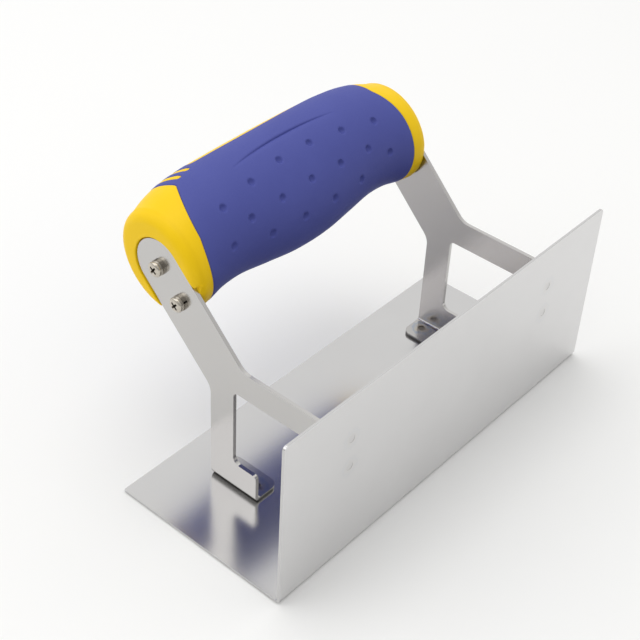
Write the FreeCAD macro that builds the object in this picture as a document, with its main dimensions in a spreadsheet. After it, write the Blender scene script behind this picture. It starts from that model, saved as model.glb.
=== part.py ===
import FreeCAD, Part
import math
import os
import Sketcher
from FreeCAD import Placement, Rotation, Vector

# Inside corner trowel: one sheet bent into an L, two sheet-metal Y brackets spot-welded into it,
# and a two-component grip screwed between the brackets.
#
# Frame: X runs along the blade, Z is up. The trowel stands on the outer face of its sole wing.
# The origin is the middle of that face. The fence wing rises from the sole's edge on the -Y side,
# its outer face looking along -Y. The line where both outer faces would meet is "the corner".
# "b" is the distance from the corner along the 45 degree line between the wings.

doc = FreeCAD.newDocument("inside_corner_trowel")
sheet = doc.addObject("Spreadsheet::Sheet", "dims")

DIMENSIONS = [
    # blade
    ("blade_length", 180.0), ("sole_width", 76.0), ("fence_height", 73.0), ("blade_gauge", 1.0),
    ("bend_radius", 1.8), ("sole_corner_radius", 0.6), ("fence_corner_radius", 1.6),
    ("dent_diameter", 3.0), ("dent_depth", 0.12),
    # brackets
    ("bracket_gauge", 1.5), ("bracket_reach", 62.4), ("leg_inner", 48.0), ("leg_outer", 59.0),
    ("foot_inner", 36.8), ("foot_height", 13.0), ("tab_length", 12.2), ("tab_bend_radius", 2.8),
    ("tab_corner_radius", 3.4), ("weld_middle", 47.7), ("weld_pitch", 12.6), ("weld_inset", 5.7),
    ("nugget_diameter", 3.2), ("nugget_depth", 0.35), ("arm_half_width", 10.8), ("elbow_radius", 7.0),
    ("crotch_radius", 2.0), ("foot_fillet", 3.0), ("foot_corner_radius", 1.6),
    # screws, washers and inserts
    ("upper_screw_b", 117.6), ("lower_screw_b", 103.6), ("screw_hole", 3.4), ("thread_diameter", 2.9),
    ("screw_length", 8.0), ("head_diameter", 5.8), ("head_height", 2.2), ("head_edge", 0.9),
    ("dome_radius", 2.4), ("tip_chamfer", 0.5),
    ("recess_length", 3.3), ("recess_width", 0.85), ("recess_depth", 1.35), ("washer_outer", 6.0),
    ("washer_inner", 3.2), ("washer_gauge", 0.8), ("washer_sweep", 347.0), ("insert_outer", 4.6),
    ("insert_bore", 3.0), ("insert_length", 6.0), ("insert_groove", 0.35),
    # grip
    ("grip_half_length", 63.0), ("grip_end_radius", 4.2), ("sleeve_wall", 2.6), ("seat_gap", 0.5),
    ("seat_foot_b", 105.5), ("bar_width", 2.6), ("bar_pitch", 5.4), ("bar_far_x", -43.0),
    ("bar_half_span", 8.0), ("bar_near_half_span", 7.0), ("spine_start", -32.4), ("spine_shoulder", 1.4),
    ("spine_end", 42.0), ("spine_half_width", 4.2), ("spine_side_radius", 350.0), ("dimple_radius", 1.9),
    ("dimple_sink", 0.65),
    # reach of the shapes that only cut or keep part of the grip
    ("beside_grip", 30.0), ("below_grip", 90.0), ("window_floor", 125.0), ("window_height", 30.0),
    ("seat_cut_depth", 10.0),
]
for row, (alias, number) in enumerate(DIMENSIONS, start=1):
    sheet.set("A%d" % row, alias)
    sheet.set("B%d" % row, repr(number))
    sheet.setAlias("B%d" % row, alias)

# Grip sections, one row per distance from mid-length: crest b, underside b, half width.
GRIP_STATIONS = [
    (0.0, 143.9, 97.6, 18.8), (12.0, 143.85, 98.2, 18.8), (24.0, 143.7, 99.8, 18.7),
    (36.0, 143.25, 101.1, 18.4), (46.0, 142.2, 100.6, 18.2), (53.5, 140.4, 99.1, 18.4),
    (58.8, 138.4, 98.3, 18.3),
]
END_ROUND_ANGLES = (28, 50, 68, 82, 90)  # where the rounded end is sampled, 90 at the end face
for row, station in enumerate(GRIP_STATIONS):
    for column, (name, number) in enumerate(zip(("x", "crest", "keel", "half"), station)):
        cell = "%s%d" % ("DEFG"[column], row + 1)
        sheet.set(cell, repr(number))
        sheet.setAlias(cell, "grip_%s_%d" % (name, row))

# Corners of the sleeve seen from the side (x, b), walked from the front crest down and back, with
# the radius of the edge that leaves each corner where that edge is curved.
SLEEVE_EDGE = [
    (-53.6, 150.0, None), (-46.4, 138.6, 29.0), (-54.4, 119.0, 37.0), (-52.6, 97.0, None),
    (-52.6, 90.0, None), (54.0, 90.0, None), (54.0, 97.0, 121.0), (54.4, 119.0, 50.0),
    (50.8, 134.0, None), (51.0, 150.0, None),
]

# Dimples on each flank: distances from mid-length, and the b of each.
DIMPLE_ROWS = [
    ((8.0, 24.0, 40.0), (128.7, 126.8, 123.9)),
    ((0.0, 15.6, 31.2), (117.1, 116.6, 116.0)),
    ((8.0, 24.0, 42.0), (106.8, 107.6, 110.8)),
]

# How far each fastener happens to be turned about its own axis, in degrees.
SCREW_TURN = {"front_upper": 20.0, "front_lower": 55.0, "rear_upper": 80.0, "rear_lower": 115.0}
WASHER_TURN = {"front_upper": 30.0, "front_lower": 110.0, "rear_upper": 30.0, "rear_lower": 110.0}
for row, corner in enumerate(SLEEVE_EDGE):
    for column, (name, number) in enumerate(zip(("x", "b", "radius"), corner)):
        if number is not None:
            cell = "%s%d" % ("IJK"[column], row + 1)
            sheet.set(cell, repr(number))
            sheet.setAlias(cell, "edge_%s_%d" % (name, row))
doc.recompute()


def value(expression):
    """Number that a spreadsheet expression gives."""
    result = sheet.evalExpression(expression)
    return float(getattr(result, "Value", result))


def dim(alias):
    return value("dims." + alias)


HALF_SQRT = math.sqrt(0.5)
CORNER = Vector(0, -dim("sole_width") / 2, 0)
BISECTOR = Vector(0, 1, 1)
TO_GRIP = Rotation(Vector(1, 0, 0), -45)  # local Z along the bisector, local Y across the grip


# ---------------------------------------------------------------- helpers

def origin_item(body, role):
    return next(item for item in body.Origin.OriginFeatures if item.Role == role)


def new_body(label):
    body = doc.addObject("PartDesign::Body", label)
    body.Label = label
    return body


def new_sketch(body, name, plane="YZ_Plane", offset=None):
    sketch = body.newObject("Sketcher::SketchObject", name)
    sketch.AttachmentSupport = [(origin_item(body, plane), "")]
    sketch.MapMode = "FlatFace"
    if offset is not None:
        sketch.setExpression("AttachmentOffset.Base.z", offset)
    return sketch


def place(sketch, geometry, point, expressions):
    """Tie one sketch point to the origin by its two coordinates."""
    for kind, axis, expression in (("DistanceX", -2, expressions[0]), ("DistanceY", -1, expressions[1])):
        number = value(expression)
        if abs(number) < 1e-9:
            sketch.addConstraint(Sketcher.Constraint("PointOnObject", geometry, point, axis))
        elif number > 0:
            index = sketch.addConstraint(Sketcher.Constraint(kind, -1, 1, geometry, point, number))
            sketch.setExpression("Constraints[%d]" % index, expression)
        else:
            index = sketch.addConstraint(Sketcher.Constraint(kind, geometry, point, -1, 1, -number))
            sketch.setExpression("Constraints[%d]" % index, "-(%s)" % expression)


def outline(sketch, corners, bulges=None):
    """Closed outline through the corners. bulges maps a side's number to (direction, radius):
    that side is an arc, to the left (+1) or right (-1) of the way it is walked."""
    bulges = bulges or {}
    points = [Vector(value(u), value(v), 0) for u, v in corners]
    count = len(points)
    first = sketch.GeometryCount
    for i in range(count):
        a, b = points[i], points[(i + 1) % count]
        if i in bulges:
            direction, radius = bulges[i][0], value(bulges[i][1])
            chord = b - a
            sagitta = radius - math.sqrt(max(0.0, radius ** 2 - (chord.Length / 2) ** 2))
            left = Vector(-chord.y, chord.x, 0).normalize()
            sketch.addGeometry(Part.Arc(a, (a + b) / 2 + left * (direction * sagitta), b), False)
        else:
            sketch.addGeometry(Part.LineSegment(a, b), False)
    ends = []
    for i in range(count):
        starts_here = sketch.Geometry[first + i].StartPoint.distanceToPoint(points[i]) < 1e-6
        ends.append((1, 2) if starts_here else (2, 1))
    for i in range(count):
        j = (i + 1) % count
        sketch.addConstraint(Sketcher.Constraint("Coincident", first + i, ends[i][1], first + j, ends[j][0]))
    for i in range(count):
        place(sketch, first + i, ends[i][0], corners[i])
    for i, (_, radius) in bulges.items():
        index = sketch.addConstraint(Sketcher.Constraint("Radius", first + i, value(radius)))
        sketch.setExpression("Constraints[%d]" % index, radius)


def circle(sketch, centre, diameter):
    u, v = (value(item) for item in centre)
    index = sketch.addGeometry(Part.Circle(Vector(u, v, 0), Vector(0, 0, 1), value(diameter) / 2), False)
    place(sketch, index, 3, centre)
    constraint = sketch.addConstraint(Sketcher.Constraint("Diameter", index, value(diameter)))
    sketch.setExpression("Constraints[%d]" % constraint, diameter)


def ellipse(sketch, centre_v, half_v, half_u):
    """Upright ellipse on the sketch's vertical axis."""
    middle, tall, wide = value(centre_v), value(half_v), value(half_u)
    index = sketch.addGeometry(
        Part.Ellipse(Vector(0, middle + tall, 0), Vector(wide, middle, 0), Vector(0, middle, 0)), False)
    sketch.exposeInternalGeometry(index)
    place(sketch, index, 3, ("0", centre_v))
    sketch.addConstraint(Sketcher.Constraint("Vertical", index + 1))
    for line, expression in ((index + 1, "2 * (%s)" % half_v), (index + 2, "2 * (%s)" % half_u)):
        constraint = sketch.addConstraint(Sketcher.Constraint("Distance", line, value(expression)))
        sketch.setExpression("Constraints[%d]" % constraint, expression)


def extrude(body, kind, sketch, length=None, midplane=False, reverse=False, through=False):
    before = body.Tip.Shape.Volume if kind == "Pocket" else None
    feature = body.newObject("PartDesign::" + kind, sketch.Name + "_" + kind.lower())
    feature.Profile = sketch
    if through:
        feature.Type = 1
    else:
        feature.setExpression("Length", length)
    if midplane:
        feature.SideType = "Symmetric"
    feature.Reversed = reverse
    sketch.Visibility = False
    doc.recompute()
    if kind == "Pocket" and feature.Shape.Volume > before - 1e-3:
        raise RuntimeError("%s removed nothing" % feature.Name)
    return feature


def blend(body, name, radius, wanted):
    """Fillet every edge of the body's tip for which wanted(edge) holds."""
    base = body.Tip
    edges = ["Edge%d" % (i + 1) for i, edge in enumerate(base.Shape.Edges) if wanted(edge)]
    if not edges:
        raise RuntimeError("%s found no edge" % name)
    fillet = body.newObject("PartDesign::Fillet", name)
    fillet.Base = (base, edges)
    fillet.setExpression("Radius", radius)
    doc.recompute()
    return fillet


def runs_along(edge, axis):
    if not isinstance(edge.Curve, (Part.Line, Part.LineSegment)):
        return False
    direction = edge.Vertexes[-1].Point - edge.Vertexes[0].Point
    return direction.Length > 1e-6 and abs(direction.normalize().dot(axis)) > 0.999


def passes(edge, **where):
    """True if the middle of the edge has the stated coordinates."""
    middle = edge.valueAt((edge.FirstParameter + edge.LastParameter) / 2)
    return all(abs(getattr(middle, axis) - number) < 0.05 for axis, number in where.items())


def revolve(body, sketch, angle=None):
    feature = body.newObject("PartDesign::Revolution", sketch.Name + "_revolution")
    feature.Profile = sketch
    feature.ReferenceAxis = (origin_item(body, "X_Axis"), [""])
    if angle:
        feature.setExpression("Angle", angle)
    sketch.Visibility = False
    doc.recompute()
    return feature


X_AXIS, Y_AXIS, Z_AXIS = Vector(1, 0, 0), Vector(0, 1, 0), Vector(0, 0, 1)


# ---------------------------------------------------------------- blade

def build_blade():
    body = new_body("blade")
    section = new_sketch(body, "blade_section")
    outline(section, [
        ("0", "0"), ("dims.sole_width", "0"), ("dims.sole_width", "dims.blade_gauge"),
        ("dims.blade_gauge", "dims.blade_gauge"), ("dims.blade_gauge", "dims.fence_height"),
        ("0", "dims.fence_height")])
    extrude(body, "Pad", section, "dims.blade_length", midplane=True)
    gauge, wide, tall = dim("blade_gauge"), dim("sole_width"), dim("fence_height")
    blend(body, "inner_bend", "dims.bend_radius - dims.blade_gauge",
          lambda e: runs_along(e, X_AXIS) and passes(e, y=gauge, z=gauge))
    blend(body, "outer_bend", "dims.bend_radius",
          lambda e: runs_along(e, X_AXIS) and passes(e, y=0, z=0))
    blend(body, "sole_corners", "dims.sole_corner_radius",
          lambda e: runs_along(e, Z_AXIS) and passes(e, y=wide))
    blend(body, "fence_corners", "dims.fence_corner_radius",
          lambda e: runs_along(e, Y_AXIS) and passes(e, z=tall))
    # Electrode marks of the spot welds, on the outer face of each wing.
    for name, plane in (("sole_dents", "XY_Plane"), ("fence_dents", "XZ_Plane")):
        marks = new_sketch(body, name, plane)
        for end in ("-", ""):
            for side in ("-", "+"):
                circle(marks, (end + "(dims.bracket_reach - dims.weld_inset)",
                               "dims.weld_middle %s dims.weld_pitch / 2" % side), "dims.dent_diameter")
        pocket_into_wing(body, marks)
    body.Placement = Placement(CORNER, Rotation())
    return body


def pocket_into_wing(body, marks):
    """Pocket the sketch in whichever direction has metal."""
    before = body.Tip.Shape.Volume
    pocket = body.newObject("PartDesign::Pocket", marks.Name + "_pocket")
    pocket.Profile = marks
    pocket.setExpression("Length", "dims.dent_depth")
    marks.Visibility = False
    doc.recompute()
    if pocket.Shape.isNull() or pocket.Shape.Volume > before - 1e-3:
        pocket.Reversed = True
        doc.recompute()
    if pocket.Shape.Volume > before - 1e-3:
        raise RuntimeError("%s removed nothing" % marks.Name)


# ---------------------------------------------------------------- brackets

def build_bracket(label, at_front):
    """Flat Y plate in local YZ, outer face at x = 0, with a welding tab bent inwards at each foot."""
    body = new_body(label)
    arm_y = "dims.upper_screw_b * %r + dims.arm_half_width * %r" % (HALF_SQRT, HALF_SQRT)
    arm_z = "dims.upper_screw_b * %r - dims.arm_half_width * %r" % (HALF_SQRT, HALF_SQRT)
    elbow = "dims.leg_outer - dims.arm_half_width * %r" % math.sqrt(2)
    half = [
        ("dims.foot_inner", "dims.blade_gauge"), ("dims.leg_outer", "dims.blade_gauge"),
        ("dims.leg_outer", elbow), (arm_y, arm_z)]
    foot = [
        ("dims.leg_inner", "dims.leg_inner"), ("dims.leg_inner", "dims.blade_gauge + dims.foot_height"),
        ("dims.foot_inner", "dims.blade_gauge + dims.foot_height")]
    mirrored = [(v, u) for u, v in reversed(half)] + [(v, u) for u, v in reversed(foot[1:])]
    face = new_sketch(body, "bracket_outline")
    outline(face, half + mirrored + foot)
    extrude(body, "Pad", face, "dims.bracket_gauge")
    tip = new_sketch(body, "arm_tip")
    centre = "dims.upper_screw_b * %r" % HALF_SQRT
    circle(tip, (centre, centre), "2 * dims.arm_half_width")
    extrude(body, "Pad", tip, "dims.bracket_gauge")
    for name, plane, reverse in (("sole_tab", "XY_Plane", False), ("fence_tab", "XZ_Plane", True)):
        offset = "dims.blade_gauge" if plane == "XY_Plane" else "-dims.blade_gauge"
        tab = new_sketch(body, name, plane, offset)
        outline(tab, [
            ("0", "dims.foot_inner"), ("dims.tab_length", "dims.foot_inner"),
            ("dims.tab_length", "dims.leg_outer"), ("0", "dims.leg_outer")])
        extrude(body, "Pad", tab, "dims.bracket_gauge", reverse=reverse)

    gauge, sheet_t, length = dim("blade_gauge"), dim("bracket_gauge"), dim("tab_length")
    inner, outer, crotch = dim("foot_inner"), dim("leg_outer"), dim("leg_inner")
    bend, top = value(elbow), gauge + dim("foot_height")
    along_x = lambda e: runs_along(e, X_AXIS)
    across = lambda e: runs_along(e, Y_AXIS) or runs_along(e, Z_AXIS)
    blend(body, "bend_inside", "dims.tab_bend_radius - dims.bracket_gauge",
          lambda e: across(e) and passes(e, x=sheet_t)
          and (passes(e, z=gauge + sheet_t) or passes(e, y=gauge + sheet_t)))
    blend(body, "bend_outside", "dims.tab_bend_radius",
          lambda e: across(e) and (passes(e, x=0, z=gauge) or passes(e, x=0, y=gauge)))
    blend(body, "tab_corners", "dims.tab_corner_radius",
          lambda e: (runs_along(e, Z_AXIS) and passes(e, x=length) and passes(e, z=gauge + sheet_t / 2))
          or (runs_along(e, Y_AXIS) and passes(e, x=length) and passes(e, y=gauge + sheet_t / 2)))
    blend(body, "elbows", "dims.elbow_radius",
          lambda e: along_x(e) and (passes(e, y=outer, z=bend) or passes(e, y=bend, z=outer)))
    blend(body, "crotch", "dims.crotch_radius",
          lambda e: along_x(e) and passes(e, y=crotch, z=crotch))
    blend(body, "foot_necks", "dims.foot_fillet",
          lambda e: along_x(e) and (passes(e, y=crotch, z=top) or passes(e, y=top, z=crotch)))
    blend(body, "foot_corners", "dims.foot_corner_radius",
          lambda e: along_x(e) and (passes(e, y=inner, z=top) or passes(e, y=top, z=inner)))

    holes = new_sketch(body, "screw_holes")
    for b in ("dims.upper_screw_b", "dims.lower_screw_b"):
        at = "%s * %r" % (b, HALF_SQRT)
        circle(holes, (at, at), "dims.screw_hole")
    extrude(body, "Pocket", holes, through=True, reverse=True)
    # Spot-weld craters on the inner side of both tabs.
    crater_floor = "dims.blade_gauge + dims.bracket_gauge"
    for name, plane, reverse in (("sole_welds", "XY_Plane", False), ("fence_welds", "XZ_Plane", True)):
        offset = crater_floor if plane == "XY_Plane" else "-(%s)" % crater_floor
        welds = new_sketch(body, name, plane, offset)
        for side in ("-", "+"):
            circle(welds, ("dims.weld_inset", "dims.weld_middle %s dims.weld_pitch / 2" % side),
                   "dims.nugget_diameter")
        extrude(body, "Pocket", welds, "dims.nugget_depth", reverse=reverse)
    reach = dim("bracket_reach")
    if at_front:
        body.Placement = Placement(CORNER + Vector(-reach, 0, 0), Rotation())
    else:
        body.Placement = Placement(CORNER + Vector(reach, 0, 0), Rotation(BISECTOR, 180))
    return body


# ---------------------------------------------------------------- screws, washers and inserts

# Local frame of every fastener: X is its axis, x = 0 the bracket's outer face, +X into the grip.
def seat(body, at_front, b_alias, twist=0.0):
    """Put a fastener on the screw line at distance b from the corner, at one end of the grip."""
    turn = TO_GRIP.multiply(Rotation(X_AXIS, twist))
    along = BISECTOR * (dim(b_alias) * HALF_SQRT)
    if at_front:
        body.Placement = Placement(CORNER + along - X_AXIS * dim("bracket_reach"), turn)
    else:
        body.Placement = Placement(CORNER + along + X_AXIS * dim("bracket_reach"),
                                   Rotation(BISECTOR, 180).multiply(turn))


def build_screw(label):
    """Pan-head screw: domed head, shank with a blunt point, crosswise recess."""
    body = new_body(label)
    profile = new_sketch(body, "screw_profile", "XZ_Plane")
    under = "-dims.washer_gauge"
    shank, head = "dims.thread_diameter / 2", "dims.head_diameter / 2"
    rim = "-dims.washer_gauge - dims.head_edge"
    crown = "-dims.washer_gauge - dims.head_height"
    end = "dims.screw_length - dims.washer_gauge"
    outline(profile, [
        (crown, "0"), (end, "0"), (end, shank + " - dims.tip_chamfer"), (end + " - dims.tip_chamfer", shank),
        (under, shank), (under, head), (rim, head), (crown, "dims.head_diameter * 0.22")],
        {6: (-1, "dims.dome_radius")})
    revolve(body, profile)
    cross = new_sketch(body, "cross_recess", "YZ_Plane", crown)
    a, c = "dims.recess_length / 2", "dims.recess_width / 2"
    outline(cross, [
        (a, "-" + c), (a, c), (c, c), (c, a), ("-" + c, a), ("-" + c, c), ("-" + a, c), ("-" + a, "-" + c),
        ("-" + c, "-" + c), ("-" + c, "-" + a), (c, "-" + a), (c, "-" + c)])
    extrude(body, "Pocket", cross, "dims.recess_depth", reverse=True)
    return body


def build_lock_washer(label):
    """Split spring washer, a rectangular section swept almost full circle."""
    body = new_body(label)
    section = new_sketch(body, "washer_section", "XZ_Plane")
    outline(section, [
        ("-dims.washer_gauge", "dims.washer_inner / 2"), ("0", "dims.washer_inner / 2"),
        ("0", "dims.washer_outer / 2"), ("-dims.washer_gauge", "dims.washer_outer / 2")])
    revolve(body, section, "dims.washer_sweep")
    return body


def build_insert(label):
    """Threaded brass insert moulded into the grip: a bush with two locking grooves."""
    body = new_body(label)
    section = new_sketch(body, "insert_section", "XZ_Plane")
    start = "dims.bracket_gauge"
    outer, groove = "dims.insert_outer / 2", "dims.insert_outer / 2 - dims.insert_groove"
    at = lambda part: "dims.bracket_gauge + dims.insert_length * %r" % part
    outline(section, [
        (start, "dims.insert_bore / 2"), (at(1.0), "dims.insert_bore / 2"), (at(1.0), outer),
        (at(0.8), outer), (at(0.8), groove), (at(0.65), groove), (at(0.65), outer),
        (at(0.35), outer), (at(0.35), groove), (at(0.2), groove), (at(0.2), outer), (start, outer)])
    revolve(body, section)
    return body


# ---------------------------------------------------------------- grip

# Local frame of the grip's bodies: X along the grip, Z = b, Y across; origin on the corner line.
def grip_placement():
    return Placement(CORNER, TO_GRIP)


def grip_loft(label, inset="0", rounded=True):
    """Loft of upright ellipses through the grip stations, drawn inwards by an even inset."""
    last = len(GRIP_STATIONS) - 1
    half = [("dims.grip_x_%d" % row, inset, row) for row in range(last + 1)]
    if rounded:
        for angle in END_ROUND_ANGLES:
            along, inwards = 1 - math.sin(math.radians(angle)), 1 - math.cos(math.radians(angle))
            half.append(("dims.grip_half_length - dims.grip_end_radius * %.6f" % along,
                         "%s + dims.grip_end_radius * %.6f" % (inset, inwards), last))
    body = new_body(label)
    sections = []
    for side, stations in (("-", half[:0:-1]), ("", half)):
        for offset, shrink, row in stations:
            sketch = new_sketch(body, "section_%d" % len(sections), "YZ_Plane", "%s(%s)" % (side, offset))
            ellipse(sketch, "(dims.grip_crest_%d + dims.grip_keel_%d) / 2" % (row, row),
                    "(dims.grip_crest_%d - dims.grip_keel_%d) / 2 - (%s)" % (row, row, shrink),
                    "dims.grip_half_%d - (%s)" % (row, shrink))
            sketch.Visibility = False
            sections.append(sketch)
    loft = body.newObject("PartDesign::AdditiveLoft", "loft")
    loft.Profile = sections[0]
    loft.Sections = sections[1:]
    loft.Ruled = False
    loft.Closed = False
    doc.recompute()
    body.Placement = grip_placement()
    return body


def tool_prism(label, plane, draw, length, offset=None, midplane=True):
    """Solid used only to cut or keep part of the grip."""
    body = new_body(label)
    sketch = new_sketch(body, label + "_outline", plane, offset)
    draw(sketch)
    extrude(body, "Pad", sketch, length, midplane=midplane)
    body.Placement = grip_placement()
    return body


def boolean(kind, label, base, tool):
    result = doc.addObject("Part::" + kind, label)
    result.Label = label
    result.Base, result.Tool = base, tool
    doc.recompute()
    return result


def gather(label, shapes):
    result = doc.addObject("Part::MultiFuse", label)
    result.Label = label
    result.Shapes = shapes
    doc.recompute()
    return result


def sleeve_side_view(sketch):
    """Outline of the soft sleeve seen from the side; the core shows beyond both ends."""
    corners = [("dims.edge_x_%d" % i, "dims.edge_b_%d" % i) for i in range(len(SLEEVE_EDGE))]
    curved = [i for i, corner in enumerate(SLEEVE_EDGE) if corner[2]]
    outline(sketch, corners, {i: (-1, "dims.edge_radius_%d" % i) for i in curved})


def window(label, draw):
    """Prism that opens the sleeve over the crest."""
    return tool_prism(label, "XY_Plane", draw, "dims.window_height", "dims.window_floor", False)


def bar_outline(x, half_span):
    near, far = "%s - dims.bar_width / 2" % x, "%s + dims.bar_width / 2" % x
    return lambda sketch: outline(sketch, [
        (near, "-" + half_span), (far, "-" + half_span), (far, half_span), (near, half_span)])


def spine_outline(sketch):
    """Long tapering window over the crest: blunt at the front, pointed at the rear."""
    blunt, shoulder = "dims.spine_half_width * 0.62", "dims.spine_start + dims.spine_shoulder"
    outline(sketch, [
        ("dims.spine_start", "-(%s)" % blunt), (shoulder, "-dims.spine_half_width"), ("dims.spine_end", "0"),
        (shoulder, "dims.spine_half_width"), ("dims.spine_start", blunt)],
        {1: (-1, "dims.spine_side_radius"), 2: (-1, "dims.spine_side_radius")})


def arm_seat(label, offset):
    """Recess for a bracket arm: the arm plus a gap, widening to the whole end below its foot."""
    arm, wide, low = "dims.arm_half_width + dims.seat_gap", "dims.beside_grip", "dims.below_grip"

    def slot(sketch):
        outline(sketch, [
            ("-" + wide, low), (wide, low), (wide, "dims.seat_foot_b"), (arm, "dims.seat_foot_b"),
            (arm, "dims.upper_screw_b"), ("-(%s)" % arm, "dims.upper_screw_b"),
            ("-(%s)" % arm, "dims.seat_foot_b"), ("-" + wide, "dims.seat_foot_b")])

    body = tool_prism(label, "YZ_Plane", slot, "dims.seat_cut_depth", offset, False)
    crown = new_sketch(body, label + "_crown", "YZ_Plane", offset)
    circle(crown, ("0", "dims.upper_screw_b"), "2 * (%s)" % arm)
    extrude(body, "Pad", crown, "dims.seat_cut_depth")
    return body


def section_at(x):
    """Middle, half height and half width of the grip at distance x from mid-length."""
    for (x0, *low), (x1, *high) in zip(GRIP_STATIONS, GRIP_STATIONS[1:]):
        if x0 <= x <= x1:
            crest, keel, half = (p + (q - p) * (x - x0) / (x1 - x0) for p, q in zip(low, high))
            return (crest + keel) / 2, (crest - keel) / 2, half
    raise ValueError("x = %g is beyond the grip" % x)


def dimple_balls():
    """Balls that press three staggered rows of dimples into both flanks of the sleeve."""
    radius, sink = dim("dimple_radius"), dim("dimple_sink")
    balls = []
    for distances, heights in DIMPLE_ROWS:
        for distance, b in zip(distances, heights):
            middle, tall, half = section_at(distance)
            across = half * math.sqrt(1 - ((b - middle) / tall) ** 2)
            outward = Vector(0, across / half ** 2, (b - middle) / tall ** 2).normalize()
            for flank in (1, -1):
                lean = Vector(0, outward.y * flank, outward.z) * (radius - sink)
                for x in sorted({distance, -distance}):
                    balls.append(Part.makeSphere(radius, Vector(x, across * flank, b) + lean))
    holder = doc.addObject("Part::Feature", "dimple_balls")
    holder.Shape = Part.makeCompound(balls)
    holder.Placement = grip_placement()
    return holder


def insert_hole(at_front, alias):
    """Hole that a moulded-in insert fills, with the insert's own grooves left standing in the core."""
    tool = build_insert("void_%s_%s" % ("front" if at_front else "rear", alias.split("_")[0]))
    seat(tool, at_front, alias)
    plug = doc.addObject("Part::Cylinder", tool.Label + "_bore")
    plug.setExpression("Radius", "dims.insert_bore / 2 + 0.2")
    plug.setExpression("Height", "dims.bracket_gauge + dims.insert_length")
    plug.Placement = tool.Placement.multiply(Placement(Vector(0, 0, 0), Rotation(Y_AXIS, 90)))
    return gather(tool.Label + "_all", [tool, plug])


def build_grip():
    """The hard core and the soft sleeve moulded over it."""
    form = grip_loft("grip_form")
    hollow = grip_loft("sleeve_hollow", "dims.sleeve_wall", rounded=False)
    zone = tool_prism("sleeve_zone", "XZ_Plane", sleeve_side_view, "2 * dims.beside_grip")
    windows = [
        window("far_bar_window", bar_outline("dims.bar_far_x", "dims.bar_half_span")),
        window("near_bar_window",
               bar_outline("(dims.bar_far_x + dims.bar_pitch)", "dims.bar_near_half_span")),
        window("spine_window", spine_outline)]
    removed = gather("sleeve_removed", [hollow] + windows)
    smooth = boolean("Cut", "sleeve_smooth", boolean("Common", "sleeve_blank", form, zone), removed)
    sleeve = boolean("Cut", "grip_sleeve", smooth, dimple_balls())

    floor = "dims.bracket_reach - dims.bracket_gauge"
    seats = [arm_seat("rear_seat", floor), arm_seat("front_seat", "-(%s) - dims.seat_cut_depth" % floor)]
    bores = [insert_hole(at_front, alias)
             for at_front in (True, False) for alias in ("upper_screw_b", "lower_screw_b")]
    seated = boolean("Cut", "core_seated", form, gather("core_seats", seats))
    bored = boolean("Cut", "core_bored", seated, gather("core_bores", bores))
    core = boolean("Cut", "handle_core", bored, smooth)
    return core, sleeve


# ---------------------------------------------------------------- assembly

parts = [build_blade(), build_bracket("front_bracket", True), build_bracket("rear_bracket", False)]
for at_front, end in ((True, "front"), (False, "rear")):
    for level in ("upper", "lower"):
        where = "%s_%s" % (end, level)
        fasteners = [
            (build_screw("screw_" + where), SCREW_TURN[where]),
            (build_lock_washer("lock_washer_" + where), WASHER_TURN[where]),
            (build_insert("insert_" + where), 0.0)]
        for piece, twist in fasteners:
            seat(piece, at_front, level + "_screw_b", twist)
            parts.append(piece)
parts.extend(build_grip())
doc.recompute()

for item in doc.Objects:
    if "Invalid" in item.State or "Error" in item.State:
        raise RuntimeError("%s did not compute: %s" % (item.Label, item.State))
os.makedirs("parts", exist_ok=True)
for part in parts:
    shape = part.Shape
    if shape.isNull() or not shape.isValid():
        raise RuntimeError("%s has no valid shape" % part.Label)
    shape.exportStep(os.path.join("parts", part.Label + ".step"))
    print("%-26s %3d solid(s) %10.1f mm3" % (part.Label, len(shape.Solids), shape.Volume))
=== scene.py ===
import math

import bmesh
import bpy
import numpy as np
from mathutils import Matrix, Vector
from mathutils.bvhtree import BVHTree
from mathutils.geometry import delaunay_2d_cdt


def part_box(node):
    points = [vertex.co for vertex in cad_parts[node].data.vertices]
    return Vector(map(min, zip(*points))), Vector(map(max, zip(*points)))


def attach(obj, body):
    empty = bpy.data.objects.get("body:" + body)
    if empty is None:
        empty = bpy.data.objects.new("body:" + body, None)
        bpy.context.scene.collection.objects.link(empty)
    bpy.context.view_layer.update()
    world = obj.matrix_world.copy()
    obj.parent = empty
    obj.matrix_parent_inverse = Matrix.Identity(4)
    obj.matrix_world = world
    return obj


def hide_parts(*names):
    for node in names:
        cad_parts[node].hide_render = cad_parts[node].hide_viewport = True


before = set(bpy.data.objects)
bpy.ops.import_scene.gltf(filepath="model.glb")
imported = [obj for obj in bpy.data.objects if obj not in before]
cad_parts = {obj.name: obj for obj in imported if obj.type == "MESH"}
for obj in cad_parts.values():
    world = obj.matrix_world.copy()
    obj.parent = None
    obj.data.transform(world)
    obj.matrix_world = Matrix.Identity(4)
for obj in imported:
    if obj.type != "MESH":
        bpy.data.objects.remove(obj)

# Inside corner trowel. X runs along the blade, the sole lies on Z = 0, and the fence rises from the
# sole's edge on the -Y side. Everything is in metres.

MM = 0.001
LEAN = math.sqrt(0.5)
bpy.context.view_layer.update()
corner_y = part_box("blade")[0].y


# ---------------------------------------------------------------- materials

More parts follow.
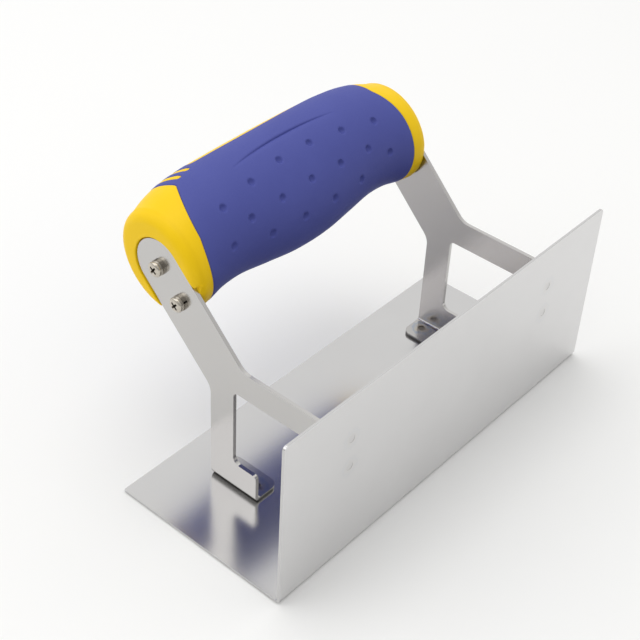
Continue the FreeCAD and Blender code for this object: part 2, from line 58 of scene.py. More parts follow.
# Spot welds: distance from the bracket's face, of a pair's middle from the corner, and of each from that.
WELD_INSET, WELD_MIDDLE, WELD_HALF_PITCH = 5.7, 47.7, 6.3
OFF_TAB = 2.6                                  # farther than this from both wings there is no tab
HEAT_TINT = (                                  # millimetres from a weld, colour, strength
    (0.0, (0.26, 0.24, 0.22), 0.9),
    (1.5, (0.40, 0.36, 0.31), 0.9),
    (2.3, (0.50, 0.44, 0.34), 0.4),
    (3.6, (0.16, 0.29, 0.48), 0.4),
    (5.0, (0.50, 0.50, 0.50), 0.0),
)
JOINT_DARK, JOINT_UNSHADED = 1.5, 2.7             # painted shadow, full within the first and gone beyond the second, in millimetres from the blade's outer faces


class Shader:
    """A node material under construction. Inputs are keyed by socket name, or number where names repeat."""

    def __init__(self, name):
        self.material = bpy.data.materials.new(name)
        self.material.use_nodes = True
        self.nodes = self.material.node_tree.nodes
        self.links = self.material.node_tree.links
        self.surface = self.nodes["Principled BSDF"]

    def feed(self, node, inputs):
        for socket, given in inputs.items():
            if isinstance(given, bpy.types.NodeSocket):
                self.links.new(given, node.inputs[socket])
            else:
                node.inputs[socket].default_value = given

    def add(self, kind, inputs, **settings):
        node = self.nodes.new("ShaderNode" + kind)
        for key, setting in settings.items():
            setattr(node, key, setting)
        self.feed(node, inputs)
        return node

    def finish(self, **inputs):
        self.feed(self.surface, {key.replace("_", " "): given for key, given in inputs.items()})
        return self.material

    def place(self, scale=(1.0, 1.0, 1.0)):
        """Object coordinates, stretched, so that a grain has a direction."""
        coordinates = self.add("TexCoord", {}).outputs["Object"]
        return self.add("Mapping", {"Vector": coordinates, "Scale": scale}).outputs["Vector"]

    def math(self, operation, first, second=0.0):
        return self.add("Math", {0: first, 1: second}, operation=operation).outputs["Value"]

    def noise(self, vector, scale, detail=4.0, roughness=0.55):
        inputs = {"Vector": vector, "Scale": scale, "Detail": detail, "Roughness": roughness}
        return self.add("TexNoise", inputs).outputs["Fac"]

    def remap(self, value, low, high, to_low, to_high):
        inputs = {"Value": value, "From Min": low, "From Max": high, "To Min": to_low, "To Max": to_high}
        return self.add("MapRange", inputs).outputs["Result"]

    def blend(self, factor, first, second):
        return self.add("Mix", {"Factor": factor, 6: first, 7: second}, data_type="RGBA").outputs[2]

    def bump(self, height, strength, distance):
        inputs = {"Height": height, "Strength": strength, "Distance": distance}
        return self.add("Bump", inputs).outputs["Normal"]

    def axes(self):
        split = self.add("SeparateXYZ", {"Vector": self.place()})
        return split.outputs["X"], split.outputs["Y"], split.outputs["Z"]


def outer_faces(shader):
    """1 on the blade's outer faces, 0 on its inner ones."""
    normal = shader.add("NewGeometry", {}).outputs["Normal"]
    facing = shader.add("VectorMath", {0: normal, 1: (0.0, -LEAN, -LEAN)}, operation="DOT_PRODUCT")
    return shader.remap(facing.outputs["Value"], 0.3, 0.6, 0.0, 1.0)


def faces_toward_grip(shader):
    """1 on the side of a bracket that faces mid-length, 0 on its outer side and on its cut edges. The side
    marked 1 takes the bracket's darker painted shade.
    """
    normal = shader.add("SeparateXYZ", {"Vector": shader.add("NewGeometry", {}).outputs["Normal"]})
    product = shader.math("MULTIPLY", shader.axes()[0], normal.outputs["X"])
    return shader.remap(product, -0.045, -0.015, 1.0, 0.0)


def weld_tint(shader, colour, strength):
    """Heat colours round the spot welds, which lie in pairs on both wings near both ends."""
    x, y, z = shader.axes()
    weld_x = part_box("rear_bracket")[1].x - WELD_INSET * MM
    along = shader.math("SUBTRACT", shader.math("ABSOLUTE", x), weld_x)
    above_fence = shader.math("SUBTRACT", y, corner_y)
    outward = shader.math("MAXIMUM", above_fence, z)
    above_wing = shader.math("SUBTRACT", shader.math("MINIMUM", above_fence, z), OFF_TAB * MM)
    from_middle = shader.math("ABSOLUTE", shader.math("SUBTRACT", outward, WELD_MIDDLE * MM))
    aside = shader.math("SUBTRACT", from_middle, WELD_HALF_PITCH * MM)
    off_tab = shader.math("MULTIPLY", shader.math("MAXIMUM", above_wing, 0.0), 4.0)
    offset = shader.add("CombineXYZ", {"X": along, "Y": aside, "Z": off_tab}).outputs["Vector"]
    gap = shader.add("VectorMath", {0: offset}, operation="LENGTH").outputs["Value"]
    uneven = shader.noise(shader.place(), 500.0, 3.0)
    wandering = shader.math("ADD", gap, shader.remap(uneven, 0.3, 0.7, -1.0 * MM, 1.0 * MM))
    reach = HEAT_TINT[-1][0]
    ramp = shader.add("ValToRGB", {"Fac": shader.remap(wandering, 0.0, reach * MM, 0.0, 1.0)})
    stops = ramp.color_ramp.elements
    for distance, _, _ in HEAT_TINT[1:-1]:
        stops.new(distance / reach)
    for stop, (_, tint, opacity) in zip(stops, HEAT_TINT):
        stop.color = tint + (opacity,)
    share = shader.math("MULTIPLY", ramp.outputs["Alpha"], strength)
    return shader.blend(share, colour, ramp.outputs["Color"])


def joint_shadow(shader, colour):
    """A painted shadow: a dark band on a bracket's bends and on the edges of its tabs, beside the blade,
    where shade falls.
    """
    _, y, z = shader.axes()
    above = shader.math("MINIMUM", z, shader.math("SUBTRACT", y, corner_y))
    unshaded = shader.remap(above, JOINT_DARK * MM, JOINT_UNSHADED * MM, 0.0, 1.0)
    # the near-black colour is the painted shadow, fading out with distance from the blade
    return shader.blend(unshaded, (0.06, 0.058, 0.055, 1.0), colour)


def sheet_steel(name, second_side, shades, roughnesses, grain, tint, shadow=None):
    """Rolled sheet with fine rolling grain and a cloudy polish, whose second side has its own shade and
    roughness: its own finish on the blade, a painted shade on the brackets.
    """
    shader = Shader(name)
    cloud = shader.noise(shader.place(), 45.0, 3.0)
    fine = shader.noise(shader.place(grain), 1500.0, 5.0, 0.6)
    first, second = (
        shader.blend(cloud, *(tuple(c * share for c in shade) + (1.0,) for share in (0.965, 1.02)))
        for shade in shades
    )
    side = second_side(shader)
    colour = weld_tint(shader, shader.blend(side, first, second), tint)
    if shadow:
        colour = shadow(shader, colour)
    polish = shader.remap(side, 0.0, 1.0, *roughnesses)
    wander = shader.remap(fine, 0.3, 0.7, -0.02, 0.02)
    return shader.finish(
        Base_Color=colour,
        Roughness=shader.math("ADD", polish, wander),
        Metallic=1.0,
        Normal=shader.bump(fine, 0.02, 0.00002),
    )


def cast_metal(name, dark, light, roughnesses):
    """A small metal part with a cloudy plated or drawn surface."""
    shader = Shader(name)
    cloud = shader.noise(shader.place(), 900.0, 3.0)
    return shader.finish(
        Base_Color=shader.blend(cloud, dark + (1.0,), light + (1.0,)),
        Roughness=shader.remap(cloud, 0.3, 0.7, *roughnesses),
        Metallic=1.0,
        Normal=shader.bump(cloud, 0.08, 0.00005),
    )


def moulded(name, shades, roughnesses, specular, pebble):
    """A moulded part with cloudy colour and fine pebbled texture."""
    shader = Shader(name)
    vector = shader.place()
    spark = shader.noise(vector, 1900.0, 4.0)
    return shader.finish(
        Base_Color=shader.blend(shader.noise(vector, 55.0, 3.0), *(shade + (1.0,) for shade in shades)),
        Roughness=shader.remap(spark, 0.3, 0.7, *roughnesses),
        Specular_IOR_Level=specular,
        Normal=shader.bump(spark, pebble, 0.0001),
    )


BLADE_SHADES = (0.60, 0.595, 0.595), (0.74, 0.735, 0.735)
# The second bracket tone is painted shade, put on the faces toward the grip.
BRACKET_TONE_AND_PAINTED_SHADE = (0.55, 0.54, 0.53), (0.44, 0.425, 0.42)
YELLOWS = (0.89, 0.57, 0.002), (0.94, 0.62, 0.004)
BLUES = (0.061, 0.074, 0.305), (0.074, 0.089, 0.345)
FINISHES = {
    "blade": sheet_steel("blade_steel", outer_faces, BLADE_SHADES, (0.19, 0.34), (1.0, 12.0, 12.0), 0.1),
    "bracket": sheet_steel(
        "bracket_steel", faces_toward_grip, BRACKET_TONE_AND_PAINTED_SHADE, (0.18, 0.20), (1.0, 1.0, 0.15), 1.0, joint_shadow
    ),
    "screw": cast_metal("plated_steel", (0.40, 0.36, 0.30), (0.70, 0.66, 0.59), (0.12, 0.26)),
    "lock_washer": cast_metal("plated_spring_steel", (0.20, 0.18, 0.15), (0.48, 0.44, 0.38), (0.16, 0.30)),
    "insert": cast_metal("insert_brass", (0.58, 0.38, 0.13), (0.78, 0.55, 0.22), (0.2, 0.36)),
    "handle_core": moulded("yellow_plastic", YELLOWS, (0.42, 0.52), 0.2, 0.10),
    "grip_sleeve": moulded("blue_rubber", BLUES, (0.58, 0.72), 0.3, 0.18),
}
# Painted shade: a near-black metal for the walls and floor of the screws' cross recesses, where shade falls.
RECESS_PAINTED_SHADE = cast_metal("recess_painted_shade", (0.07, 0.06, 0.05), (0.20, 0.17, 0.14), (0.25, 0.45))
for node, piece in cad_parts.items():
    finish = next(material for word, material in FINISHES.items() if word in node)
    piece.data.materials.clear()
    piece.data.materials.append(finish)


# ---------------------------------------------------------------- the grip's form

def to_frame(x, n, b):
    """A point given along the grip, across it and outward from the blade's corner, in millimetres."""
    return Vector((x * MM, corner_y + (b - n) * LEAN * MM, (b + n) * LEAN * MM))


def from_frame(point):
    """The reverse of to_frame."""
    y, z = (point.y - corner_y) / MM, point.z / MM
    return point.x / MM, (z - y) * LEAN, (y + z) * LEAN


class GripForm:
    """The grip's outer form as upright ellipses, measured on the CAD grip where no dimple or bar is."""

    MEASURED_AT = (8.0, 22.0, 36.0, 46.0, 53.5, 58.7)

    def __init__(self):
        meshes = [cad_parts[name].data for name in ("handle_core", "grip_sleeve")]
        self.trees = [
            BVHTree.FromPolygons([v.co for v in m.vertices], [p.vertices for p in m.polygons]) for m in meshes
        ]
        self.end = from_frame(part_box("handle_core")[1])[0]
        rows = []
        for x in self.MEASURED_AT:
            crest = self.hit(to_frame(x, 0, 200), (0, -1, -1))[2]
            keel = self.hit(to_frame(x, 0, 50), (0, 1, 1))[2]
            half = self.hit(to_frame(x, 60, (crest + keel) / 2), (0, 1, -1))[1]
            rows.append((x, (crest + keel) / 2, (crest - keel) / 2, half))
        mirrored = [(-row[0],) + row[1:] for row in reversed(rows)]
        table = np.array(mirrored + rows)
        self.knots, self.values = table[:, 0], table[:, 1:]
        self.slopes = np.gradient(self.values, self.knots, axis=0)

    def hit(self, start, direction):
        hits = [tree.ray_cast(start, Vector(direction)) for tree in self.trees]
        return from_frame(min((h for h in hits if h[0] is not None), key=lambda h: h[3])[0])

    def section(self, x):
        """Middle, half height and half width of the section at x (arrays welcome)."""
        x = np.clip(np.asarray(x, float), self.knots[0], self.knots[-1])
        i = np.clip(np.searchsorted(self.knots, x, side="right") - 1, 0, len(self.knots) - 2)
        step = self.knots[i + 1] - self.knots[i]
        u = ((x - self.knots[i]) / step)[..., None]
        step = step[..., None]
        result = (
            (2 * u**3 - 3 * u**2 + 1) * self.values[i] + (u**3 - 2 * u**2 + u) * step * self.slopes[i]
            + (3 * u**2 - 2 * u**3) * self.values[i + 1] + (u**3 - u**2) * step * self.slopes[i + 1]
        )
        return result[..., 0], result[..., 1], result[..., 2]

    def skin(self, angle, x, height=0.0):
        """(x, n, b) on the form, raised by height along the section's normal."""
        middle, tall, half = self.section(x)
        n, b = half * np.sin(angle), middle + tall * np.cos(angle)
        slope_n, slope_b = np.sin(angle) / half, np.cos(angle) / tall
        lift = height / np.hypot(slope_n, slope_b)
        return np.stack([np.asarray(x, float) + 0 * n, n + lift * slope_n, b + lift * slope_b], -1)


grip = GripForm()
UNROLL = 21.0            # millimetres of unrolled width per radian round the grip
SLEEVE_WALL = 2.6
END_ROUND = 4.2
SKIN_END = grip.end - END_ROUND
SEAM = math.pi * UNROLL
CAP_SEGMENTS = 168       # points round each rounded end

# Sleeve ends in side view, as (distance from mid-length, b, radius of the arc to the next point).
SLEEVE_FRONT = [
    (52.6, 90.0, None), (52.6, 97.0, 37.0), (54.4, 119.0, 29.0), (46.4, 138.6, None), (53.6, 150.0, None),
]
SLEEVE_REAR = [
    (54.0, 90.0, None), (54.0, 97.0, 121.0), (54.4, 119.0, 50.0), (50.8, 134.0, None), (51.0, 150.0, None),
]
THUMB_BARS = [(-42.3, 8.4), (-36.8, 7.4)]         # tip and half span of each window
BAR_WIDTH, BAR_CORNER, BAR_BOW = 2.6, 1.0, 1.9
SPINE = (-32.4, 42.0, 4.2, 350.0)                 # start, end, half width, side radius
SPINE_SHOULDER = 1.4                              # from the start to the widest place
DIMPLE_ROWS = [                                   # distances from mid-length, and their b
    ((8.0, 24.0, 40.0), (128.7, 126.8, 123.9)),
    ((0.0, 15.6, 31.2), (117.1, 116.6, 116.0)),
    ((8.0, 24.0, 42.0), (106.8, 107.6, 110.8)),
]
DIMPLE_BALL, DIMPLE_SINK = 1.65, 1.1
DIMPLE_SOFT = 0.004                               # squared millimetres of softness of a dimple's rim
CREASE = (-26.5, 28.0, 47.5, 56.0)                # start, end, degrees from the crest at its middle and ends
CREASE_DEPTH = 0.7
CREASE_SHARP_SIDE, CREASE_SOFT_SIDE = 0.5, 1.6    # how far the crease reaches toward the crest and the keel
SLEEVE_PROUD, SLEEVE_EDGE, CORE_EDGE = 0.08, 0.42, 0.3    # sleeve above core, and the rounding of their rims
CORE_CLEAR = 0.1                                  # the core's floor under the sleeve's inner side


def edge_distance(edge, b):
    """Distance from mid-length at which a sleeve end passes height b."""
    for (x0, b0, radius), (x1, b1, _) in zip(edge, edge[1:]):
        if b0 <= b <= b1:
            if radius is None:
                return x0 + (x1 - x0) * (b - b0) / (b1 - b0)
            chord = Vector((x1 - x0, b1 - b0))
            outward = Vector((chord.y, -chord.x)).normalized()
            sink = math.sqrt(radius**2 - (chord.length / 2) ** 2)
            centre = Vector(((x0 + x1) / 2, (b0 + b1) / 2)) - outward * sink
            return centre.x + math.sqrt(radius**2 - (b - centre.y) ** 2)
    raise ValueError("height %g is beyond the sleeve's end" % b)


def rim_x(edge, side, angle):
    """Where a sleeve end lies on the form at an angle from the crest, found by stepping."""
    x = side * 50.0
    for _ in range(12):
        x = side * edge_distance(edge, float(grip.skin(angle, x)[2]))
    return x


def resampled(points, step):
    """The closed or open line through the points, with no gap wider than step."""
    line = []
    for a, b in zip(points, points[1:]):
        count = max(1, math.ceil(math.dist(a, b) / step))
        line += [(a[0] + (b[0] - a[0]) * k / count, a[1] + (b[1] - a[1]) * k / count) for k in range(count)]
    return line + [points[-1]]


def arc(centre, radius, start, end, count):
    """Points on a circle from one angle to another, in degrees."""
    angles = [math.radians(start + (end - start) * k / count) for k in range(count + 1)]
    return [(centre[0] + radius * math.cos(a), centre[1] + radius * math.sin(a)) for a in angles]


def unrolled(outline):
    """An outline seen from the crest, (x, n), wrapped onto the form and unrolled to (s, x)."""
    wrapped = []
    for x, n in outline:
        half = float(grip.section(x)[2])
        wrapped.append((UNROLL * math.asin(n / half), x))
    return wrapped


def bar_window(tip, span):
    """A bar across the crest, bowed towards the front end of the grip, with rounded tips."""
    inner_x, inner_n = BAR_WIDTH / 2 - BAR_CORNER, span - BAR_CORNER
    loop = []
    for start, (side_x, side_n) in zip((0, 90, 180, 270), ((1, 1), (-1, 1), (-1, -1), (1, -1))):
        loop += arc((tip + side_x * inner_x, side_n * inner_n), BAR_CORNER, start, start + 90, 4)
    loop = resampled(loop + loop[:1], 0.7)[:-1]
    return unrolled([(x - BAR_BOW * (1 - min(1, n / inner_n) ** 2), n) for x, n in loop])


def spine_window():
    """The long strip on the crest, blunt at the front and drawn out to a point at the rear."""
    start, end, half, radius = SPINE
    shoulder = Vector((start + SPINE_SHOULDER, half))
    tip = Vector((end, 0.0))
    chord = tip - shoulder
    outward = Vector((-chord.y, chord.x)).normalized()
    centre = (tip + shoulder) / 2 - outward * math.sqrt(radius**2 - (chord.length / 2) ** 2)
    angles = [math.degrees(math.atan2(p.y - centre.y, p.x - centre.x)) for p in (shoulder, tip)]
    flank = [(start, half * 0.62), (start + 0.35, half * 0.86)] + arc(centre, radius, *angles, 90)
    loop = flank + [(x, -n) for x, n in reversed(flank[:-1])]
    return unrolled(resampled(loop + loop[:1], 0.8)[:-1])


def in_loop(points, loop):
    """Which points lie inside a closed loop."""
    x, y = points[:, 0], points[:, 1]
    inside = np.zeros(len(points), bool)
    for (x0, y0), (x1, y1) in zip(loop, loop[1:] + loop[:1]):
        if y0 != y1:
            crosses = ((y0 > y) != (y1 > y)) & (x < (x1 - x0) * (y - y0) / (y1 - y0) + x0)
            inside ^= crosses
    return inside


def distance_to(points, lines):
    """Distance from each point to the nearest of several lines."""
    nearest = np.full(len(points), 1e9)
    for line in lines:
        line = np.array(line)
        for a, b in zip(line, line[1:]):
            along = b - a
            share = np.clip(((points - a) @ along) / max(along @ along, 1e-12), 0, 1)
            gap = points - a - share[:, None] * along
            nearest = np.minimum(nearest, np.einsum("ij,ij->i", gap, gap))
    return np.sqrt(nearest)


NOT_NEARER = 0.93        # of its gap, for a point beside one line that comes near to another


def beside(line, gaps):
    """Points on both sides of a line at each of the gaps from it."""
    line = np.array(line)
    along = np.gradient(line, axis=0)
    across = np.stack([-along[:, 1], along[:, 0]], 1) / np.linalg.norm(along, axis=1)[:, None]
    return {gap: np.vstack([line + across * gap, line - across * gap]) for gap in gaps}


def triangulate(points, lines):
    """Delaunay triangles of loose points and of lines whose own edges are kept."""
    coordinates = [Vector(p) for p in points]
    edges = []
    for line in lines:
        first = len(coordinates)
        coordinates += [Vector(p) for p in line]
        edges += [(first + k, first + k + 1) for k in range(len(line) - 1)]
    found = delaunay_2d_cdt(coordinates, edges, [], 0, 1e-5, False)
    return np.array([tuple(v) for v in found[0]]), [tuple(f) for f in found[2]]


def fall(distance, radius):
    """How far a rounded edge of that radius drops at a distance from it."""
    inside = np.clip(radius - distance, 0, radius)
    return radius - np.sqrt(radius**2 - inside**2)


def welded_piece(name, points, faces, materials, sharp=50.0, shaded_faces=()):
    """A closed piece, its doubled points welded, with smooth shading up to the sharp angle.
    The faces numbered in the last argument take the second material, a painted shade."""
    mesh = bpy.data.meshes.new(name)
    mesh.from_pydata(points, [], faces)
    for number in shaded_faces:
        mesh.polygons[number].material_index = 1
    shape = bmesh.new()
    shape.from_mesh(mesh)
    bmesh.ops.remove_doubles(shape, verts=shape.verts, dist=0.01 * MM)
    bmesh.ops.dissolve_degenerate(shape, edges=shape.edges, dist=0.001 * MM)
    bmesh.ops.recalc_face_normals(shape, faces=shape.faces)
    shape.to_mesh(mesh)
    shape.free()
    for polygon in mesh.polygons:
        polygon.use_smooth = True
    mesh.set_sharp_from_angle(angle=math.radians(sharp))
    for material in materials:
        mesh.materials.append(material)
    piece = bpy.data.objects.new(name, mesh)
    bpy.context.scene.collection.objects.link(piece)
    return piece


def terraced(triangles, labels, place):
    """Points and faces of a surface whose parts lie at their own levels, with walls where two parts meet.
    place(index, label) gives a point's position."""
    points, faces, index, sides = [], [], {}, {}

    def number(i, label):
        if (i, label) not in index:
            index[i, label] = len(points)
            points.append(place(i, label))
        return index[i, label]

    for corners, label in zip(triangles, labels):
        faces.append([number(i, label) for i in corners])
        for a, b in zip(corners, corners[1:] + corners[:1]):
            sides[a, b] = label
    for (a, b), label in sides.items():
        other = sides.get((b, a))
        if other is not None and other != label and a < b:
            faces.append([number(b, label), number(a, label), number(a, other), number(b, other)])
    return points, faces


class SkinPatch:
    """The side of the grip between its rounded ends, unrolled, with the sleeve's outlines in it."""

    GRID = 1.3
    SEAM_STRIP = 0.4                # beside the seam only the grid's own points are used
    RIM_GAPS = (0.12, 0.3, 0.6, 1.0)
    CREASE_GAPS = (0.18, 0.4, 0.8, 1.4)
    DIMPLE_RINGS = ((0.45, 8), (0.85, 12), (1.2, 16), (1.45, 18), (1.7, 18), (2.1, 16))    # radius, points
    RIM_CLEAR, CREASE_CLEAR, DIMPLE_CLEAR = 1.3, 2.2, 2.6                # kept free of the plain grid

    def __init__(self):
        angles = [math.pi * k / 90 for k in range(-90, 91)]
        self.front = [(a * UNROLL, rim_x(SLEEVE_FRONT, -1, a)) for a in angles]
        self.rear = [(a * UNROLL, rim_x(SLEEVE_REAR, 1, a)) for a in angles]
        self.windows = [bar_window(*bar) for bar in THUMB_BARS] + [spine_window()]
        self.lines = [self.front, self.rear] + [loop + loop[:1] for loop in self.windows]
        self.dimples = self.place_dimples()
        self.creases = self.place_creases()
        self.points, self.triangles = triangulate(self.loose_points(), self.lines)
        self.rim = distance_to(self.points, self.lines)
        self.in_sleeve = self.classify()
        self.weld_seam()

    def place_dimples(self):
        found = []
        for distances, heights in DIMPLE_ROWS:
            for distance, b in zip(distances, heights):
                middle, tall, _ = (float(v) for v in grip.section(distance))
                angle = math.acos((b - middle) / tall)
                for x in sorted({distance, -distance}):
                    found += [(angle * UNROLL, x), (-angle * UNROLL, x)]
        return found

    def place_creases(self):
        start, end, middle_angle, end_angle = CREASE
        centre, half = (start + end) / 2, (end - start) / 2
        lines = []
        for flank in (1, -1):
            line = []
            for k in range(81):
                u = k / 40 - 1
                angle = math.radians(middle_angle + (end_angle - middle_angle) * u * u)
                line.append((flank * angle * UNROLL, centre + half * u))
            lines.append(line)
        return lines

    def loose_points(self):
        columns = np.linspace(-SEAM, SEAM, 2 * round(SEAM / self.GRID) + 1)
        rows = np.linspace(-SKIN_END, SKIN_END, 2 * round(SKIN_END / self.GRID) + 1)
        grid = np.array([(s, x) for x in rows[1:-1] for s in columns])
        clear = distance_to(grid, self.lines) > self.RIM_CLEAR
        clear &= distance_to(grid, self.creases) > self.CREASE_CLEAR
        for dimple in self.dimples:
            clear &= np.linalg.norm(grid - np.array(dimple), axis=1) > self.DIMPLE_CLEAR
        edge_s = np.linspace(-SEAM, SEAM, CAP_SEGMENTS + 1)
        at_seam = np.abs(grid[:, 0]) > SEAM - 0.1
        groups = [grid[clear | at_seam]]
        groups += [np.array([(s, side * SKIN_END) for s in edge_s]) for side in (-1, 1)]
        for line in self.lines:
            for gap, points in beside(line, self.RIM_GAPS).items():
                clear = distance_to(points, self.lines) > gap * NOT_NEARER
                groups.append(points[clear & (np.abs(points[:, 0]) < SEAM - self.SEAM_STRIP)])
        for line in self.creases:
            groups.append(np.array(line))
            groups += beside(line, self.CREASE_GAPS).values()
        for s, x in self.dimples:
            rings = [(s, x)]
            for radius, count in self.DIMPLE_RINGS:
                turn = [2 * math.pi * (k + 0.5 * (count % 4 == 0)) / count for k in range(count)]
                rings += [(s + radius * math.cos(t), x + radius * math.sin(t)) for t in turn]
            groups.append(np.array(rings))
        return np.vstack(groups)

    def weld_seam(self):
        """Points on one side of the seam become those on the other side."""
        at_x = {round(x, 4): i for i, (s, x) in enumerate(self.points) if s < -SEAM + 1e-3}
        same = {i: at_x[round(x, 4)] for i, (s, x) in enumerate(self.points) if s > SEAM - 1e-3}
        self.triangles = [tuple(same.get(i, i) for i in t) for t in self.triangles]

    def classify(self):
        """Which triangles the sleeve covers."""
        centres = np.array([sum(self.points[i] for i in t) / 3 for t in self.triangles])
        inside = in_loop(centres, self.front + self.rear[::-1])
        for loop in self.windows:
            inside &= ~in_loop(centres, loop)
        return inside

    def skin(self, height):
        """The points on the grip's form, raised by height."""
        return grip.skin(self.points[:, 0] / UNROLL, self.points[:, 1], height)

    def dents(self):
        """How deep the dimples and creases press into the sleeve at each point."""
        base = self.skin(0.0)
        depth = np.zeros(len(base))
        for s, x in self.dimples:
            centre = grip.skin(s / UNROLL, x)
            away = np.minimum(np.linalg.norm(base - centre, axis=1), DIMPLE_BALL)
            level = DIMPLE_SINK - (DIMPLE_BALL - np.sqrt(DIMPLE_BALL**2 - away**2))
            depth += np.where(away < DIMPLE_BALL, (level + np.sqrt(level**2 + DIMPLE_SOFT)) / 2, 0)
        for line in self.creases:
            line = np.array(line)
            start, end = line[0, 1], line[-1, 1]
            u = np.clip((self.points[:, 1] - start) / (end - start), 0, 1)
            across = self.points[:, 0] - np.interp(self.points[:, 1], line[:, 1], line[:, 0])
            toward_keel = np.sign(line[0, 0]) * across
            width = np.where(toward_keel > 0, CREASE_SOFT_SIDE, CREASE_SHARP_SIDE)
            profile = np.clip(1 - np.abs(toward_keel) / width, 0, 1) ** 1.5
            depth += CREASE_DEPTH * np.sin(math.pi * u) ** 0.8 * profile
        return depth


patch = SkinPatch()


def build_sleeve():
    """Outer and inner skins under the sleeve's outline, with walls between them round every opening."""
    outer = patch.skin(SLEEVE_PROUD - fall(patch.rim, SLEEVE_EDGE) - patch.dents())
    inner = patch.skin(-SLEEVE_WALL)
    covered = [t for t, inside in zip(patch.triangles, patch.in_sleeve) if inside]
    members = list(dict.fromkeys(i for t in covered for i in t))
    number = {i: k for k, i in enumerate(members)}
    count = len(members)
    points = [tuple(skin[i]) for skin in (outer, inner) for i in members]
    tops = [[number[i] for i in t] for t in covered]
    sides = [(face[k], face[(k + 1) % 3]) for face in tops for k in range(3)]
    shared = set(sides)
    floors = [[k + count for k in reversed(face)] for face in tops]
    walls = [[b, a, a + count, b + count] for a, b in sides if (b, a) not in shared]
    faces = tops + floors + walls
    piece = welded_piece("soft_sleeve", [to_frame(*p) for p in points], faces, [FINISHES["grip_sleeve"]])
    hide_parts("grip_sleeve")
    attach(piece, "root")


# ---------------------------------------------------------------- the core and its ends

